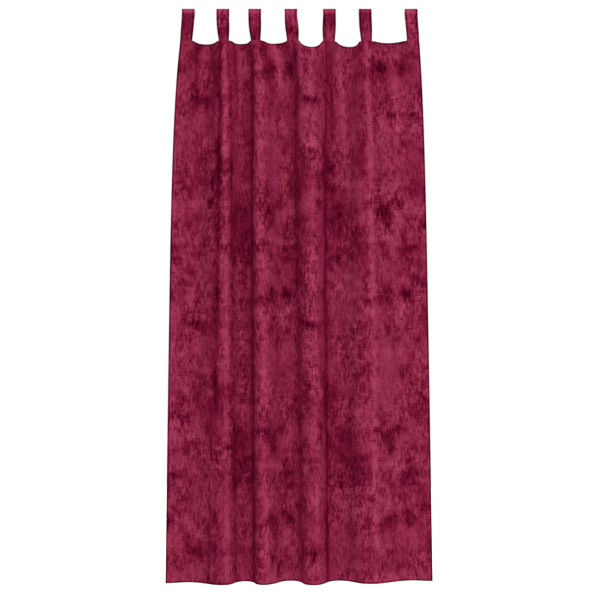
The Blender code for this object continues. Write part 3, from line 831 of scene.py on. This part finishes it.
def back_material(name, settings):
    """The velvet's back: a plain weave of the same dye, without pile."""
    tree, shader = new_material(name, 0.9)
    weave = add_node(
        tree, "ShaderNodeGroup",
        {"Flat place": flat_place(tree), "Tone": stored_number(tree, "tone"),
         "Low": (*settings.dark, 1.0), "High": (*settings.middle, 1.0)},
        node_tree=bpy.data.node_groups["Woven back"])
    tree.links.new(weave.outputs["Color"], shader.inputs["Base Color"])
    add_bump(tree, shader, weave.outputs["Height"], *WEAVE_BUMP)


def thread_material(name, settings):
    """Sewing thread of the velvet's colour, twisted, with painted shade in the grooves of its twist and
    a slight gloss.
    """
    tree, shader = new_material(name, 0.5, 0.3)
    axes = add_node(tree, "ShaderNodeSeparateXYZ", {0: flat_place(tree)})
    turns = calculate(tree, "MULTIPLY_ADD", axes.outputs[0], TWISTS, axes.outputs[1])
    twist = calculate(tree, "SINE", calculate(tree, "MULTIPLY", turns, 2 * np.pi))
    # painted shade: darker in the grooves of the twist
    share = calculate(tree, "MULTIPLY_ADD", twist, 0.5, 0.5)
    colour = mix_colours(tree, share, (*settings.dark, 1.0), (*settings.middle, 1.0))
    tree.links.new(colour, shader.inputs["Base Color"])
    add_bump(tree, shader, twist, *THREAD_BUMP)


FINISHES = {"Crushed velvet": velvet_material, "Velvet back": back_material,
            "Sewing thread": thread_material}


def finish_of(name):
    """A finish by name, made the first time that a piece asks for it."""
    if name not in bpy.data.materials:
        if not bpy.data.node_groups:
            crushed_pile_group()
            woven_back_group()
        FINISHES[name](name, bpy.context.scene.curtain_velvet)
    return bpy.data.materials[name]


# --- Pieces -----------------------------------------------------------------------------------

TAB_SEWN = 4 * MM             # beside a tab, where the free top edge begins
STRIP_ROWS = 14               # of the strip's grid, between STRIP_EDGE from both its edges
STRIP_EDGE = 5 * MM
STRIP_EASE = 14 * MM          # length over which the strip eases back round a tab's tails
STRIP_CLEAR = 2 * MM          # how far below the tails it starts to
STRIP_CUT = (20 * CM, 60 * CM)  # where in the cloth's repeat the strip was cut
TAIL_STEPS = 5                # places down a tab's tail
FRONT_TAIL, LEG, LOOP, BACK_TAIL = range(4)
STRAP_SQUARE = 14             # how square the section of a strap is
STITCH_RINGS = 5
RING_POINTS = 4
STITCH_TIP = 0.35             # radius of a stitch at its ends, as a share of its middle's
STITCH_SUNK = 0.5             # how far its ends go under, in threads
STITCH_PROUD = 0.15           # how far its middle stands out, in threads
SEAM_STEP = 8 * MM            # between the places at which a seam's route is worked out


def make_cloth(settings):
    """The curtain's cloth, from its top edge to its hem.

    Both faces are cloth_points of the flat place. The faces lie half the cloth's thickness from
    the middle, less where they round off at an edge; the turned hem adds to the back and shows
    its pile there, and each line of stitches dents the front.
    """
    places, depths = cloth_columns(settings.columns), cloth_rows(settings.rows)
    across, down = np.meshgrid(places, depths)
    side, foot = side_distance(across), DROP - down
    nearest = np.minimum(np.minimum(side, foot), down)
    half = rounded(nearest, CLOTH)
    hem = smooth((HEM + HEM_STEP - np.minimum(side, foot)) / HEM_STEP)
    turned = HEM_EXTRA * hem * np.clip(nearest / ROUNDED, 0, 1)
    seams = dent(foot - HEM) + dent(side - HEM) + dent(down - STRIP_SEAM) + dent(down - TOP_SEAM)
    front, back = cloth_points(places, depths, np.minimum(seams, SEAM_DENT) - half, half + turned)
    free_top = smooth(off_tabs(across) / TAB_SEWN)
    layers = {
        "tone": crushed_tone(across, down),
        # painted light and shade along the folds and in the bands: highlights on ridges, shade in
        # creases
        "lie": painted_fold_shading(across, down),
        # painted shade beside the sides, the hem and the free top edge, with a painted highlight on the
        # hem's fullness
        "edge": edge_shade(np.minimum(side, foot)) + edge_shade(down) * free_top,
        # painted bounce light: deeper red in the flanks of the folds
        "deep": painted_bounce_colour(places, depths),
    }
    piece = add_sheet("curtain_cloth", places, depths, front, back, layers,
                      ["Crushed velvet", "Velvet back"], plain=1 - hem)
    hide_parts("panel")


def make_strip(settings):
    """The heading strip behind the cloth's top edge, which stands off round the tabs' tails."""
    places = cloth_columns(settings.columns)
    edge = EDGE_STEPS[:3]
    between = np.linspace(STRIP_EDGE, STRIP_HEIGHT - STRIP_EDGE, STRIP_ROWS)
    depths = np.concatenate([edge, between, STRIP_HEIGHT - edge[::-1]])
    across, down = np.meshgrid(places, depths)
    over = 1 - smooth(off_tabs(places) / STRIP_EASE)
    above = 1 - smooth((depths - TAB_TAIL - STRIP_CLEAR) / STRIP_EASE)
    stand_off = CLOTH / 2 + GAP + (2 * TAB_CLOTH + GAP) * np.outer(above, over)
    middle = stand_off + CLOTH / 2
    nearest = np.minimum(np.minimum(down, STRIP_HEIGHT - down), side_distance(across))
    half = rounded(nearest, CLOTH)
    half_back = half - np.minimum(dent(down - STRIP_SEAM) + dent(down - TOP_SEAM), SEAM_DENT)
    front, back = cloth_points(places, depths, middle - half, middle + half_back)
    layers = {
        "tone": crushed_tone(across + STRIP_CUT[0], down + STRIP_CUT[1]),
        # painted shade along the strip's edges
        "edge": edge_shade(nearest),
    }
    piece = add_sheet("heading_strip", places, depths, front, back, layers, ["Crushed velvet"])
    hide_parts("heading")


def strap_section(count, thickness):
    """A strap's closed section: places across its width and how far out each lies.

    The width follows a cosine, so the points close up at the folded edges, where a root of the
    remaining width rounds the section off. It runs along the outer face and back by the inner.
    """
    turn = np.linspace(0, 2 * np.pi, 2 * count, endpoint=False)
    across = TAB_WIDTH / 2 * np.cos(turn)
    full = (1 - np.abs(np.cos(turn)) ** STRAP_SQUARE) ** 0.5
    out = np.sign(np.sin(turn)) * thickness / 2 * full
    out[np.abs(np.sin(turn)) < 1e-9] = 0
    return across, out


def tab_route(leg_steps, loop_steps):
    """Side view of a tab's middle line: part, forward offset, height and outward direction.

    The front tail is first and the back tail last. On a tail the height is minus the depth; on
    a leg it is a share, from -1 where the legs meet up to 0 at the rod's line; over the rod it is
    in metres.
    """
    radius = ROD_RADIUS + ROD_PLAY + TAB_CLOTH / 2
    spread = radius - TAB_CLOTH / 2
    tail = np.linspace(-TAB_TAIL, 0, TAIL_STEPS)
    share = np.linspace(1, 0, leg_steps, endpoint=False)
    angle = np.linspace(0, np.pi, loop_steps + 1)
    legs = np.stack([TAB_CLOTH / 2 + spread * (1 - share), -share], axis=1)

    def stretch(part, offsets, heights, lean, rise):
        columns = np.broadcast_arrays(part, offsets, heights, lean, rise)
        return np.stack(columns, axis=1).astype(float)

    cos, sin = np.cos(angle), np.sin(angle)
    return np.concatenate([
        stretch(FRONT_TAIL, 0.0, tail, 1.0, 0.0),
        stretch(LEG, legs[:, 0], legs[:, 1], 1.0, 0.0),
        stretch(LOOP, radius * cos, radius * sin, cos, sin),
        stretch(LEG, -legs[::-1, 0], legs[::-1, 1], -1.0, 0.0),
        stretch(BACK_TAIL, 0.0, tail[::-1], -1.0, 0.0),
    ])


def tab_points(centre, tab, settings):
    """Points of one strap: rings of its section along its route, and how far along each ring is.

    Beside the rod the strap hangs straight along X; towards its seam it turns, by a smooth
    share, onto the cloth's own curve; below the seam it lies on the cloth's back.
    """
    across, out = strap_section(settings.section, settings.thickness)
    route = tab_route(settings.leg_steps, settings.loop_steps)
    places = centre + across
    tail_middle = CLOTH / 2 + GAP + TAB_CLOTH
    base = cloth_points(places, [0.0], tail_middle)[0][0]
    normal = cloth_normals(places, np.array([0.0]))[0]
    at_rod = np.stack([tab.at_rod * MM + across, np.zeros_like(across)], axis=1)
    puff = out * (1 + settings.puff * np.cos(np.pi * across / TAB_WIDTH) ** 2)
    rings = []
    for part, offset, height, lean, rise in route:
        if part in (FRONT_TAIL, BACK_TAIL):
            side = TAB_CLOTH / 2 * (1 if part == BACK_TAIL else -1)
            away = tail_middle + side - puff * lean
            ring = cloth_points(places, [-height], away[None, :])[0][0]
        else:
            forward = offset + puff * lean
            if part == LOOP:
                level = height + puff * rise
                share = 1.0
            else:
                level = (base[:, 2] + TAB_CLOSE) * -height
                share = 1 + height * (CLOTH_TOP + TAB_CLOSE) / CLOTH_TOP
            weight = smooth(share)
            middle = (1 - weight) * base[:, :2] + weight * at_rod
            back = (1 - weight) * normal[:, :2] + weight * np.array([0.0, 1.0])
            back /= np.linalg.norm(back, axis=1, keepdims=True)
            ring = np.column_stack([middle - back * forward[:, None], level])
        rings.append(ring)
    rings = np.array(rings)
    steps = np.linalg.norm(np.diff(rings.mean(axis=1), axis=0), axis=1)
    along = np.concatenate([[0], np.cumsum(steps)])
    return rings, across, along


def make_tabs(settings):
    """The seven loop tabs, each one closed strap of doubled velvet over the rod's line."""
    for number, (centre, tab) in enumerate(zip(tab_places(), TABS), start=1):
        rings, across, along = tab_points(centre, tab, settings)
        rows, count = rings.shape[:2]
        last = (rows - 1) * count
        caps = [list(range(count))[::-1], list(range(last, last + count))]
        place_u = np.broadcast_to(tab.cut_across * CM + across, (rows, count))
        place_t = np.broadcast_to(tab.cut_down * CM + along[:, None], (rows, count))
        flat = np.stack([place_u.ravel(), place_t.ravel()], axis=-1)
        # painted shade beside the strap's folded edges
        edge = edge_shade(TAB_WIDTH / 2 - np.abs(across) - TAB_EDGE_IN)
        # painted shade where the strap bends over the top of the rod
        bend_shade = LOOP_SHADE * np.exp(-((rings[:, :, 2] - LOOP_SHADE_AT) / EDGE_SHADE_WIDTH) ** 2)
        below_rod = -rings[:, :, 2] / MM
        layers = {
            "tone": crushed_tone(place_u, place_t),
            # painted highlight over the rod and painted light and shade down the strap, from TABS
            "lie": np.interp(below_rod, TAB_TONE_DEPTHS, tab[-len(TAB_TONE_DEPTHS):]) / 100,
            "edge": edge + bend_shade,
        }
        piece = add_piece(f"tab_strap_{number}", rings.reshape(-1, 3),
                          tube_quads(rows, count).tolist() + caps, layers, flat, ["Crushed velvet"])
        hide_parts(f"tab_{number}")


def seam_route(u, t, away, share):
    """Points and normals at shares of a straight line on the flat cloth, along u or along t."""
    line_u = u[0] + share * (u[1] - u[0])
    line_t = t[0] + share * (t[1] - t[0])
    if t[0] == t[1]:
        places = line_u, np.array(t[:1])
    else:
        places = np.array(u[:1]), line_t
    return (cloth_points(*places, away)[0].reshape(-1, 3), cloth_normals(*places).reshape(-1, 3))


def stitch_line(u, t, away, settings):
    """Bead-like stitches along a line on the cloth, as points, quads and places on the stitch.

    `u` and `t` are the flat places of the line's ends and `away` its distance behind the middle
    surface. A stitch is a short spindle: rings of points whose radius follows a half sine, sunk
    at both ends.
    """
    length = np.hypot(u[1] - u[0], t[1] - t[0])
    count = int(length / (settings.stitch + settings.space))
    station = np.linspace(-0.5, 0.5, STITCH_RINGS)
    spots = ((np.arange(count)[:, None] + 0.5) / count * length + station * settings.stitch).ravel()
    coarse = np.linspace(0, length, int(length / SEAM_STEP) + 1)
    points, outward = (
        np.column_stack([np.interp(spots, coarse, axis) for axis in each.T]).reshape(count, -1, 3)
        for each in seam_route(u, t, away, coarse / length))
    outward = outward * np.sign(away)
    tangent = points[:, -1:] - points[:, :1]
    tangent /= np.linalg.norm(tangent, axis=-1, keepdims=True)
    aside = np.cross(tangent, outward)
    swell = np.cos(np.pi * station)
    radius = settings.thread / 2 * (STITCH_TIP + (1 - STITCH_TIP) * swell)
    sunk = settings.thread * (STITCH_PROUD - STITCH_SUNK * (1 - swell))
    turn = np.arange(RING_POINTS) * 2 * np.pi / RING_POINTS
    rings = (points[:, :, None]
             + outward[:, :, None] * (sunk[:, None] + radius[:, None] * np.sin(turn))[..., None]
             + aside[:, :, None] * (radius[:, None] * np.cos(turn))[..., None])
    size = STITCH_RINGS * RING_POINTS
    caps = np.stack([np.arange(RING_POINTS)[::-1], np.arange(size - RING_POINTS, size)])
    quads = np.concatenate([tube_quads(STITCH_RINGS, RING_POINTS), caps])
    every = (np.arange(count)[:, None, None] * size + quads).reshape(-1, 4)
    flat = np.stack(np.broadcast_arrays(station[:, None], turn / (2 * np.pi)), axis=-1)
    return rings.reshape(-1, 3), every, np.tile(flat.reshape(-1, 2), (count, 1))


def make_stitches(name, lines, settings):
    """One object for several lines of stitches."""
    points, quads, flats = zip(*(stitch_line(*line, settings) for line in lines))
    firsts = np.cumsum([0] + [len(some) for some in points[:-1]])
    quads = [some + first for some, first in zip(quads, firsts)]
    add_piece(name, np.concatenate(points), np.concatenate(quads).tolist(), {},
              np.concatenate(flats), ["Sewing thread"])


# --- Studio -----------------------------------------------------------------------------------

IMAGE_WIDTH = 600             # pixels, square
SENSOR = 36.0
FLOOR_GREY = (0.5, 0.5, 0.5, 1.0)
MIDDLE = (0.03, 0.0, -1.2)    # of the curtain
HEADING = (0.03, 0.0, 0.0)

Lamp = namedtuple("Lamp", "name place target size power")
# Square lights: where each stands and what it faces, its side, and the setting of its power
LAMPS = (
    Lamp("key light", (1.5, -7.5, -0.9), MIDDLE, 3.4, "key"),
    Lamp("fill light", (-4.2, -4.6, -0.8), MIDDLE, 2.2, "fill"),
    Lamp("top light", (0.2, -0.9, 2.6), HEADING, 1.8, "top"),
    Lamp("back light", (0.6, 4.6, 0.6), MIDDLE, 2.6, "back"),
)


def place_in_scene(name, data, place=(0, 0, 0), rotation=(0, 0, 0)):
    """An object for some data, linked to the scene."""
    thing = bpy.data.objects.new(name, data)
    thing.location = place
    thing.rotation_euler = rotation
    bpy.context.scene.collection.objects.link(thing)
    return thing


def make_lamps(settings):
    """The soft lights, each facing its target."""
    for lamp in LAMPS:
        light = bpy.data.lights.new(lamp.name, "AREA")
        light.shape = "SQUARE"
        light.size = lamp.size
        light.energy = getattr(settings, lamp.power)
        facing = Vector(lamp.target) - Vector(lamp.place)
        place_in_scene(lamp.name, light, lamp.place, facing.to_track_quat("-Z", "Y").to_euler())


def make_floor(settings):
    """A plain pale floor, a little below the hem, which a camera under it looks through."""
    mesh = bpy.data.meshes.new("floor")
    half = settings.floor_size / 2
    level = CLOTH_TOP - DROP - settings.hem_above_floor
    corners = [(-half, -half, level), (half, -half, level), (half, half, level), (-half, half, level)]
    mesh.from_pydata(corners, [], [(0, 1, 2, 3)])
    tree, shader = new_material("Pale floor", 0.9)
    shader.inputs["Base Color"].default_value = FLOOR_GREY
    shader.inputs["Emission Color"].default_value = WHITE
    seen = add_node(tree, "ShaderNodeLightPath").outputs["Is Camera Ray"]
    glow = map_range(tree, seen, 0.0, 1.0, (settings.bounce, settings.glow))
    tree.links.new(glow, shader.inputs["Emission Strength"])
    surface = add_node(tree, "ShaderNodeNewGeometry")
    from_below = calculate(tree, "MULTIPLY", seen, surface.outputs["Backfacing"])
    tree.links.new(calculate(tree, "SUBTRACT", 1.0, from_below), shader.inputs["Alpha"])
    mesh.materials.append(bpy.data.materials["Pale floor"])
    place_in_scene("floor", mesh)


def make_world(settings):
    """White all round where it is seen, and a softer white where it lights the cloth."""
    world = bpy.data.worlds.new("White studio")
    world.use_nodes = True
    tree = world.node_tree
    light = tree.nodes["Background"]
    light.inputs["Color"].default_value = WHITE
    light.inputs["Strength"].default_value = settings.ambient
    white = add_node(tree, "ShaderNodeBackground", {"Color": WHITE, "Strength": 1.0})
    seen = add_node(tree, "ShaderNodeLightPath").outputs["Is Camera Ray"]
    mixed = add_node(tree, "ShaderNodeMixShader",
                     {0: seen, 1: light.outputs[0], 2: white.outputs[0]})
    tree.links.new(mixed.outputs[0], tree.nodes["World Output"].inputs["Surface"])
    bpy.context.scene.world = world


def make_camera(settings):
    """The camera square to the curtain, level with its middle."""
    camera = bpy.data.cameras.new("camera")
    camera.sensor_width = SENSOR
    camera.lens = SENSOR * settings.away / (IMAGE_WIDTH * settings.pixel)
    place = (settings.aside, -settings.away, settings.level)
    bpy.context.scene.camera = place_in_scene("camera", camera, place, (np.pi / 2, 0, 0))


# --- Settings ---------------------------------------------------------------------------------

def colour_setting(name, description, default):
    """A colour property."""
    return FloatVectorProperty(name=name, description=description, default=default,
                               subtype="COLOR", size=3, min=0, max=1)


def length_setting(name, description, default, low, high):
    """A length property in metres."""
    return FloatProperty(name=name, description=description, default=default, min=low, max=high,
                         unit="LENGTH", subtype="DISTANCE", precision=4)


def strength_setting(name, description, default, high=2.0, subtype="NONE"):
    """A strength or power property, from nothing up."""
    return FloatProperty(name=name, description=description, default=default, min=0, max=high,
                         subtype=subtype)


def count_setting(name, description, default, low, high):
    """A property that counts steps."""
    return IntProperty(name=name, description=description, default=default, min=low, max=high)


class CURTAIN_PG_velvet(PropertyGroup):
    """Colours of the crushed pile, from its darkest to its lightest, and the mesh steps."""
    # the darker stops also carry the painted shade of creases and edges, the lighter ones the painted
    # highlights of ridges
    darkest: colour_setting("Darkest", "Pile crushed flat, away from the light",
                            (0.0520, 0.0003, 0.0075))
    dark: colour_setting("Dark", "Pile partly crushed", (0.157, 0.0064, 0.0285))
    middle: colour_setting("Middle", "The velvet's mean colour", (0.221, 0.0162, 0.0485))
    light: colour_setting("Light", "Upright pile", (0.270, 0.0268, 0.0685))
    lightest: colour_setting("Lightest", "Pile combed towards the light", (0.365, 0.0480, 0.1080))
    columns: count_setting("Columns", "Even steps across the cloth between its hems", 214, 20, 600)
    rows: count_setting("Rows", "Steps down the cloth between heading and hem", 176, 20, 600)


class CURTAIN_PG_tabs(PropertyGroup):
    """Fineness and fullness of the tabs."""
    thickness: length_setting("Thickness", "Thickness of one leg's doubled velvet", 2.2 * MM,
                              1 * MM, 4 * MM)
    puff: strength_setting("Puff", "Extra fullness in the middle of the strap", 0.05, 0.5)
    section: count_setting("Section steps", "Steps across one face of a strap", 20, 6, 60)
    leg_steps: count_setting("Leg steps", "Steps up each leg", 16, 4, 60)
    loop_steps: count_setting("Loop steps", "Steps over the rod", 24, 6, 90)


class CURTAIN_PG_stitches(PropertyGroup):
    """Size and spacing of the machine stitches."""
    stitch: length_setting("Stitch", "Length of one stitch", 3.0 * MM, 1 * MM, 8 * MM)
    space: length_setting("Space", "Gap between two stitches", 0.7 * MM, 0.1 * MM, 4 * MM)
    thread: length_setting("Thread", "Thickness of the thread", 0.5 * MM, 0.2 * MM, 1.5 * MM)


class CURTAIN_PG_studio(PropertyGroup):
    """Floor, light and camera."""
    floor_size: length_setting("Floor", "Side of the square floor", 7.0, 4, 60)
    hem_above_floor: length_setting("Hem above floor", "Gap under the hem", 0.06, 0, 1)
    glow: strength_setting("Floor glow", "Brightness of the floor where the camera sees it", 0.86)
    bounce: strength_setting("Floor bounce", "Light that the floor throws on the cloth", 0.35)
    ambient: strength_setting("Ambient", "Strength of the light from all round", 0.22)
    key: strength_setting("Key light", "Power of the large light at the front", 410, 5000, "POWER")
    fill: strength_setting("Fill light", "Power of the light at the left", 30, 5000, "POWER")
    top: strength_setting("Top light", "Power of the light above the heading", 60, 5000, "POWER")
    back: strength_setting("Back light", "Power of the light behind the curtain", 180, 5000, "POWER")
    away: length_setting("Camera distance", "From the camera to the rod's line", 5.8, 1, 20)
    aside: length_setting("Camera aside", "Camera right of the middle tab", 38.8 * MM, -1, 1)
    level: length_setting("Camera level", "Camera above the rod's line", -1.2238, -3, 3)
    pixel: length_setting("Pixel", "Width of one image pixel at the rod's line", 4.261 * MM,
                          1 * MM, 20 * MM)


# --- Operators --------------------------------------------------------------------------------

class CURTAIN_OT_cloth(Operator):
    """Add the curtain's cloth, hung in its folds"""
    bl_idname = "curtain.cloth"
    bl_label = "Curtain Cloth"

    def execute(self, context):
        make_cloth(context.scene.curtain_velvet)
        return {"FINISHED"}


class CURTAIN_OT_strip(Operator):
    """Add the heading strip behind the cloth's top edge"""
    bl_idname = "curtain.strip"
    bl_label = "Heading Strip"

    def execute(self, context):
        make_strip(context.scene.curtain_velvet)
        return {"FINISHED"}


class CURTAIN_OT_tabs(Operator):
    """Add the loop tabs"""
    bl_idname = "curtain.tabs"
    bl_label = "Loop Tabs"

    def execute(self, context):
        make_tabs(context.scene.curtain_tabs)
        return {"FINISHED"}


class CURTAIN_OT_stitches(Operator):
    """Add the lines of stitches along the hems, the heading and the top edge"""
    bl_idname = "curtain.stitches"
    bl_label = "Stitches"

    def execute(self, context):
        settings = context.scene.curtain_stitches
        face, back = SEAM_DENT - CLOTH / 2, CLOTH / 2 + HEM_EXTRA
        inner, low = (HEM, FLAT_WIDTH - HEM), DROP - HEM
        make_stitches("hem_stitches", [(inner, (low, low), away) for away in (face, back)], settings)
        make_stitches("side_stitches", [
            ((u, u), (STRIP_HEIGHT + HEM, low), away) for u in inner for away in (face, back)
        ], settings)
        make_stitches("heading_stitches", [
            ((HEM / 2, FLAT_WIDTH - HEM / 2), (depth, depth), face)
            for depth in (TOP_SEAM, STRIP_SEAM)
        ], settings)
        return {"FINISHED"}


class CURTAIN_OT_studio(Operator):
    """Add the floor, the lights, the white surround and the camera"""
    bl_idname = "curtain.studio"
    bl_label = "Studio"

    def execute(self, context):
        for make in (make_floor, make_world, make_camera, make_lamps):
            make(context.scene.curtain_studio)
        context.scene.view_settings.view_transform = "Standard"
        return {"FINISHED"}


class CURTAIN_PT_sidebar(Panel):
    """Lists the curtain's settings and operators"""
    bl_idname = "CURTAIN_PT_sidebar"
    bl_label = "Tab-top Curtain"
    bl_space_type = "VIEW_3D"
    bl_region_type = "UI"
    bl_category = "Curtain"

    def draw(self, context):
        scene = context.scene
        for label, settings, operators in (
            ("Velvet", scene.curtain_velvet, (CURTAIN_OT_cloth, CURTAIN_OT_strip)),
            ("Tabs", scene.curtain_tabs, (CURTAIN_OT_tabs,)),
            ("Stitches", scene.curtain_stitches, (CURTAIN_OT_stitches,)),
            ("Studio", scene.curtain_studio, (CURTAIN_OT_studio,)),
        ):
            box = self.layout.box()
            box.label(text=label)
            for name in settings.__annotations__:
                box.prop(settings, name)
            for operator in operators:
                box.operator(operator.bl_idname)


SETTINGS = {
    "curtain_velvet": CURTAIN_PG_velvet,
    "curtain_tabs": CURTAIN_PG_tabs,
    "curtain_stitches": CURTAIN_PG_stitches,
    "curtain_studio": CURTAIN_PG_studio,
}
CLASSES = (
    *SETTINGS.values(),
    CURTAIN_OT_cloth,
    CURTAIN_OT_strip,
    CURTAIN_OT_tabs,
    CURTAIN_OT_stitches,
    CURTAIN_OT_studio,
    CURTAIN_PT_sidebar,
)


def register():
    for one in CLASSES:
        bpy.utils.register_class(one)
    for name, group in SETTINGS.items():
        setattr(bpy.types.Scene, name, PointerProperty(type=group))


def unregister():
    for name in SETTINGS:
        delattr(bpy.types.Scene, name)
    for one in reversed(CLASSES):
        bpy.utils.unregister_class(one)


def main():
    """Makes every piece and the studio."""
    register()
    bpy.ops.curtain.cloth()
    bpy.ops.curtain.strip()
    bpy.ops.curtain.tabs()
    bpy.ops.curtain.stitches()
    bpy.ops.curtain.studio()


if __name__ == "__main__":
    main()
